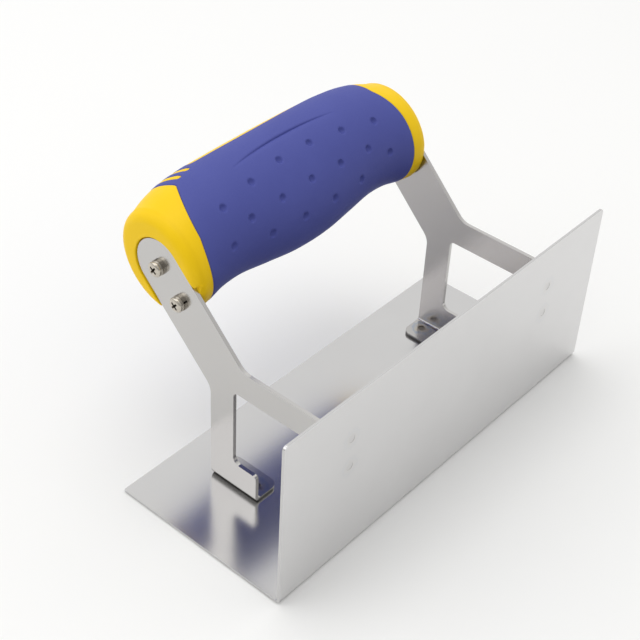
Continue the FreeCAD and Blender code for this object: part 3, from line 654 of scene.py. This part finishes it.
class EndCap:
    """One rounded end of the core seen along the grip, (n, b), with the arm's seat and the screws' bores."""

    GRID = 1.4
    RING_GAPS = (0.15, 0.45, 0.9, 1.5, 2.2, 3.0, 3.7, 4.2)
    SEAT_LINE_GAPS = (0.12, 0.35, 0.75)
    RING_CLEAR, GRID_CLEAR = 0.75, 1.2
    GRID_INSET, LINE_INSET = 5.0, 0.3
    SEAT_GAP = 0.5                  # round the arm
    SEAT_FOOT = 105.5               # below this b the seat takes the whole width
    SEAT_LINE_END = 0.75            # from the end's outline
    SEAT_EDGE = 0.35                # rounding of the seat's rim
    BEYOND = 40.0                   # farther out than the end reaches

    def __init__(self, front):
        self.side = -1 if front else 1
        self.middle, self.tall, self.half = (float(v) for v in grip.section(SKIN_END))
        name = "front" if front else "rear"
        low, high = (from_frame(v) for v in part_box("insert_%s_upper" % name))
        self.floor = max(abs(low[0]), abs(high[0]))
        self.bore_end = min(abs(low[0]), abs(high[0]))
        self.screws = []
        for level in ("upper", "lower"):
            low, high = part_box("insert_%s_%s" % (name, level))
            self.screws.append(from_frame((low + high) / 2)[2])
        self.bore = (high.y - low.y) / MM / 2
        arm_half = self.arm_half_width(name)
        reach = arm_half + self.SEAT_GAP
        tip = self.screws[0]
        foot_rise = (self.SEAT_FOOT - self.middle) / self.tall
        foot_n = self.half * math.sqrt(1 - foot_rise**2) - self.SEAT_LINE_END
        crown = arc((0, tip), reach, 0, 180, 40)
        line = [(foot_n, self.SEAT_FOOT), (reach, self.SEAT_FOOT)] + crown
        line += [(-reach, self.SEAT_FOOT), (-foot_n, self.SEAT_FOOT)]
        self.seat_line = resampled(line, 0.9)
        far, deep = self.BEYOND, self.SEAT_FOOT - self.BEYOND
        self.seat_loop = [(far, deep), (far, self.SEAT_FOOT)] + line + [(-far, self.SEAT_FOOT), (-far, deep)]
        self.bores = [arc((0, b), self.bore, 0, 360, 28)[:-1] for b in self.screws]
        self.rim = [
            (self.half * math.sin(a), self.middle + self.tall * math.cos(a))
            for a in (math.pi * (2 * k / CAP_SEGMENTS - 1) for k in range(CAP_SEGMENTS))
        ]
        lines = [self.seat_line] + [loop + loop[:1] for loop in self.bores]
        self.points, self.triangles = triangulate(self.loose_points(lines), lines)
        self.labels = self.classify()
        self.heights = self.measure()

    def arm_half_width(self, name):
        """Half of the arm's width, from the bracket's vertices round the upper screw."""
        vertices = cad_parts["%s_bracket" % name].data.vertices
        near = [from_frame(v.co) for v in vertices]
        return max(n for _, n, b in near if abs(b - self.screws[0]) < 4)

    def within(self, points, inset):
        """Which points lie farther inside the end's outline than the inset."""
        n, b = points[:, 0], points[:, 1] - self.middle
        return (n / (self.half - inset)) ** 2 + (b / (self.tall - inset)) ** 2 <= 1

    def inset(self, points):
        """How far inside the end's outline each point lies, up to the end round."""
        low, high = np.zeros(len(points)), np.full(len(points), END_ROUND)
        for _ in range(30):
            middle = (low + high) / 2
            inside = self.within(points, middle)
            low, high = np.where(inside, middle, low), np.where(inside, high, middle)
        return np.where(low > END_ROUND - 1e-4, END_ROUND, low)

    def loose_points(self, lines):
        groups = [np.array(self.rim)]
        for gap in self.RING_GAPS:
            count = int(CAP_SEGMENTS * (1 - gap / self.tall)) if gap > 1 else CAP_SEGMENTS
            angles = [2 * math.pi * (k + 0.5) / count for k in range(count)]
            half, tall = self.half - gap, self.tall - gap
            line = np.array([(half * math.sin(a), self.middle + tall * math.cos(a)) for a in angles])
            groups.append(line[distance_to(line, lines) > self.RING_CLEAR])
        reach = int(self.tall / self.GRID) + 1
        grid = np.array([
            ((i + 0.5 * (k % 2)) * self.GRID, self.middle + k * self.GRID * 0.87)
            for i in range(-reach, reach + 1) for k in range(-reach - 4, reach + 5)
        ])
        groups.append(grid[self.within(grid, self.GRID_INSET) & (distance_to(grid, lines) > self.GRID_CLEAR)])
        for gap, points in beside(self.seat_line, self.SEAT_LINE_GAPS).items():
            clear = distance_to(points, lines) > gap * NOT_NEARER
            groups.append(points[self.within(points, self.LINE_INSET) & clear])
        return np.vstack(groups)

    def classify(self):
        centres = np.array([sum(self.points[i] for i in t) / 3 for t in self.triangles])
        seat = in_loop(centres, self.seat_loop)
        bore = in_loop(centres, self.bores[0]) | in_loop(centres, self.bores[1])
        return ["bore" if drilled else "seat" if sunk else "skin" for sunk, drilled in zip(seat, bore)]

    def measure(self):
        inset = self.inset(self.points)
        skin = SKIN_END + np.sqrt(np.maximum(0, END_ROUND**2 - (END_ROUND - inset) ** 2))
        edge = fall(distance_to(self.points, [self.seat_line]), self.SEAT_EDGE)
        skin = np.where(skin > self.floor, np.maximum(skin - edge, self.floor), skin)
        seat = np.minimum(skin, self.floor)
        return {"skin": skin, "seat": seat, "bore": np.full(len(skin), self.bore_end)}

    def mesh(self):
        def place(i, label):
            return (self.side * self.heights[label][i], self.points[i][0], self.points[i][1])

        return terraced(self.triangles, self.labels, place)


def build_core():
    """The grip's side, sunk under the sleeve, closed by the two rounded ends."""
    levels = {"skin": patch.skin(-fall(patch.rim, CORE_EDGE)), "under": patch.skin(-SLEEVE_WALL - CORE_CLEAR)}
    labels = ["under" if inside else "skin" for inside in patch.in_sleeve]
    points, faces = terraced(patch.triangles, labels, lambda i, label: tuple(levels[label][i]))
    for front in (True, False):
        cap_points, cap_faces = EndCap(front).mesh()
        faces += [[k + len(points) for k in face] for face in cap_faces]
        points += cap_points
    piece = welded_piece("hard_core", [to_frame(*p) for p in points], faces, [FINISHES["handle_core"]])
    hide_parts("handle_core")
    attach(piece, "root")


build_sleeve()
build_core()


# ---------------------------------------------------------------- screws

HEAD_RINGS = (0.6, 1.0, 1.4, 1.75, 2.05, 2.3, 2.5, 2.65, 2.76, 2.84, 2.9)
CROSS_MOUTH, CROSS_FLOOR = (1.62, 0.40), (0.95, 0.20)      # half length and half width of the recess's arms
MOUTH_CLEAR = 0.12
CROSS_DEPTH = 1.25
RIM_HEIGHT, RIM_CHAMFER = 1.05, 0.12
THREAD_PITCH, THREAD_CREST, THREAD_ROOT, THREAD_STEPS = 0.5, 1.44, 1.16, 6
SCREW_SEGMENTS = 40
THREAD_SHARP = 38.0      # degrees
SCREW_TURN = {"front_upper": 35.0, "front_lower": 42.0, "rear_upper": 5.0, "rear_lower": 70.0}


def cross_outline(length, width):
    """A cross whose four arms have that half length and half width."""
    corners = [(length, width), (width, width), (width, length)]
    loop = []
    for quarter in range(4):
        turn = Matrix.Rotation(math.radians(90 * quarter), 2)
        loop += [tuple(turn @ Vector(c)) for c in corners]
    return resampled(loop + loop[:1], 0.3)[:-1]


def ring(radius, height):
    """Points round a screw's axis, with the height measured outward from the washer."""
    turns = [2 * math.pi * k / SCREW_SEGMENTS for k in range(SCREW_SEGMENTS)]
    return [(radius * math.cos(t), radius * math.sin(t), height) for t in turns]


def screw_head(radius, height):
    """Points (u, v, height), faces and recessed faces of the domed top with its tapered cross recess."""
    mouth, floor = cross_outline(*CROSS_MOUTH), cross_outline(*CROSS_FLOOR)
    rings = np.array([p[:2] for r in HEAD_RINGS for p in ring(r * radius / HEAD_RINGS[-1], 0)])
    clear = ~in_loop(rings, mouth) & (distance_to(rings, [mouth + mouth[:1]]) > MOUTH_CLEAR)
    points, triangles = triangulate(rings[clear], [mouth + mouth[:1], floor + floor[:1]])
    sunk = in_loop(points, floor) | (distance_to(points, [floor + floor[:1]]) < 1e-3)
    share = np.clip(np.linalg.norm(points, axis=1) / radius, 0, 1)
    dome = RIM_HEIGHT + (height - RIM_HEIGHT) * np.sqrt(np.maximum(0, 1 - share**4))
    levels = np.where(sunk, height - CROSS_DEPTH, dome)
    centres = np.array([points[list(t)].mean(axis=0) for t in triangles])
    recessed = np.flatnonzero(in_loop(centres, mouth)).tolist()
    return [(p[0], p[1], h) for p, h in zip(points, levels)], [list(t) for t in triangles], recessed


def thread_ring(depth, length):
    """One ring of a right-hand thread, depth below the head, blunt at the point."""
    points = []
    room = min(1.0, (length - depth) / THREAD_PITCH * 0.5 + 0.55)
    for k in range(SCREW_SEGMENTS):
        share = k / SCREW_SEGMENTS
        wave = abs(((depth / THREAD_PITCH + share) % 1.0) * 2 - 1)
        radius = (THREAD_ROOT + (THREAD_CREST - THREAD_ROOT) * wave) * room
        turn = 2 * math.pi * share
        points.append((radius * math.cos(turn), radius * math.sin(turn), -depth))
    return points


def joined_rings(rings, first):
    """The points of the rings and the faces between them, when the points are numbered from first."""
    points = [point for line in rings for point in line]
    faces = []
    for row in range(1, len(rings)):
        start = first + row * SCREW_SEGMENTS
        for k in range(SCREW_SEGMENTS):
            following = (k + 1) % SCREW_SEGMENTS
            below = start - SCREW_SEGMENTS
            faces.append([start + k, start + following, below + following, below + k])
    last = first + len(points)
    faces.append(list(range(last - SCREW_SEGMENTS, last)))
    return points, faces


def build_screw(where):
    """A screw in place of the plain CAD one, as long and as wide, with its head on the washer."""
    low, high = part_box("screw_" + where)
    side = -1 if where.startswith("front") else 1
    washer_low, washer_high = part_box("lock_washer_" + where)
    seat_x = washer_low.x if side < 0 else washer_high.x
    top_x, tip_x = (low.x, high.x) if side < 0 else (high.x, low.x)
    head_height, length = abs(top_x - seat_x) / MM, abs(tip_x - seat_x) / MM
    radius = (high.y - low.y) / MM / 2
    points, faces, recessed = screw_head(radius, head_height)
    rings = [ring(radius, RIM_HEIGHT), ring(radius, RIM_CHAMFER), ring(radius - RIM_CHAMFER, 0.0)]
    steps = round(length / THREAD_PITCH * THREAD_STEPS)
    rings += [thread_ring(length * k / steps, length) for k in range(steps + 1)]
    side_points, side_faces = joined_rings(rings, len(points))
    points += side_points
    faces += side_faces
    turn = math.radians(SCREW_TURN[where])
    middle = (low + high) / 2
    placed = []
    for u, v, height in points:
        across = u * math.cos(turn) - v * math.sin(turn)
        rise = u * math.sin(turn) + v * math.cos(turn)
        offset = Vector((side * height, -side * across, rise)) * MM
        placed.append(Vector((seat_x, middle.y, middle.z)) + offset)
    # the cross recess's faces take the dark painted shade
    metals = [FINISHES["screw"], RECESS_PAINTED_SHADE]
    piece = welded_piece("screw_%s_detailed" % where, placed, faces, metals, THREAD_SHARP, recessed)
    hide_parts("screw_" + where)
    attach(piece, "root")


for where in SCREW_TURN:
    build_screw(where)


# ---------------------------------------------------------------- fine edges

def soften_edges(node, width):
    """A fine rounding of a CAD piece's edges, for the highlights that real edges catch."""
    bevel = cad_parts[node].modifiers.new("fine_edges", "BEVEL")
    bevel.width = width * MM
    bevel.segments = 2
    bevel.limit_method = "ANGLE"
    bevel.angle_limit = math.radians(50)
    bevel.harden_normals = True


soften_edges("blade", 0.15)
for node in ("front_bracket", "rear_bracket"):
    soften_edges(node, 0.25)
for where in SCREW_TURN:
    soften_edges("lock_washer_" + where, 0.08)


# ---------------------------------------------------------------- stage, light and camera

FLOOR_HALF, FLOOR_DROP = 4.0, 0.0002
WORLD_BRIGHT_SIDE = (0.45, 0.55, 0.70)
WORLD_LOW, WORLD_HIGH = 0.30, 1.02


def make_stage():
    mesh = bpy.data.meshes.new("floor")
    corners = [(-1, -1), (1, -1), (1, 1), (-1, 1)]
    mesh.from_pydata([(x * FLOOR_HALF, y * FLOOR_HALF, -FLOOR_DROP) for x, y in corners], [], [(0, 1, 2, 3)])
    floor = bpy.data.objects.new("floor", mesh)
    bpy.context.scene.collection.objects.link(floor)
    shader = Shader("pale_floor")
    tint = shader.noise(shader.place(), 3.0, 2.0)
    mesh.materials.append(shader.finish(
        Base_Color=shader.blend(tint, (0.88, 0.88, 0.875, 1), (0.90, 0.90, 0.895, 1)),
        Roughness=0.85,
        Specular_IOR_Level=0.1,
    ))


def make_light(name, position, target, size, watts):
    lamp = bpy.data.lights.new(name, "AREA")
    lamp.shape = "DISK"
    lamp.size = size
    lamp.energy = watts
    holder = bpy.data.objects.new(name, lamp)
    bpy.context.scene.collection.objects.link(holder)
    holder.location = position
    holder.rotation_euler = (Vector(target) - Vector(position)).to_track_quat("-Z", "Y").to_euler()


def make_world():
    """A white room that is brightest on one side."""
    world = bpy.data.worlds.new("studio")
    bpy.context.scene.world = world
    world.use_nodes = True
    nodes, links = world.node_tree.nodes, world.node_tree.links
    direction = nodes.new("ShaderNodeTexCoord").outputs["Generated"]
    toward = nodes.new("ShaderNodeVectorMath")
    toward.operation = "DOT_PRODUCT"
    links.new(direction, toward.inputs[0])
    toward.inputs[1].default_value = Vector(WORLD_BRIGHT_SIDE).normalized()
    level = nodes.new("ShaderNodeMapRange")
    links.new(toward.outputs["Value"], level.inputs["Value"])
    level.inputs["From Min"].default_value = -1.0
    level.inputs["To Min"].default_value = WORLD_LOW
    level.inputs["To Max"].default_value = WORLD_HIGH
    background = nodes["Background"]
    background.inputs["Color"].default_value = (1.0, 0.998, 0.99, 1)
    links.new(level.outputs["Result"], background.inputs["Strength"])


def make_camera():
    """The view from above the front end of the blade, on the fence's side."""
    azimuth, elevation, roll = math.radians(-50.79), math.radians(39.15), math.radians(3.22)
    back = Vector((
        math.sin(azimuth) * math.cos(elevation),
        -math.cos(azimuth) * math.cos(elevation),
        math.sin(elevation),
    ))
    level = (-back).cross(Vector((0, 0, 1))).normalized()
    lift = level.cross(-back)
    right = level * math.cos(roll) + lift * math.sin(roll)
    up = lift * math.cos(roll) - level * math.sin(roll)
    data = bpy.data.cameras.new("camera")
    data.sensor_width = 36.0
    data.lens = 79.23
    data.clip_start = 0.01
    data.clip_end = 50.0
    camera = bpy.data.objects.new("camera", data)
    bpy.context.scene.collection.objects.link(camera)
    turn = Matrix((right, up, back)).transposed().to_4x4()
    camera.matrix_world = Matrix.Translation(Vector((-0.32183, -0.23810, 0.37337))) @ turn
    bpy.context.scene.camera = camera


make_stage()
make_world()
make_light("overhead", (0.10, 0.15, 1.4), (0, 0, 0.05), 1.0, 4.5)
make_light("left_softbox", (-0.90, 0.735, 1.0), (0, 0, 0.05), 1.2, 3.5)
make_camera()
bpy.context.scene.view_settings.view_transform = "Standard"
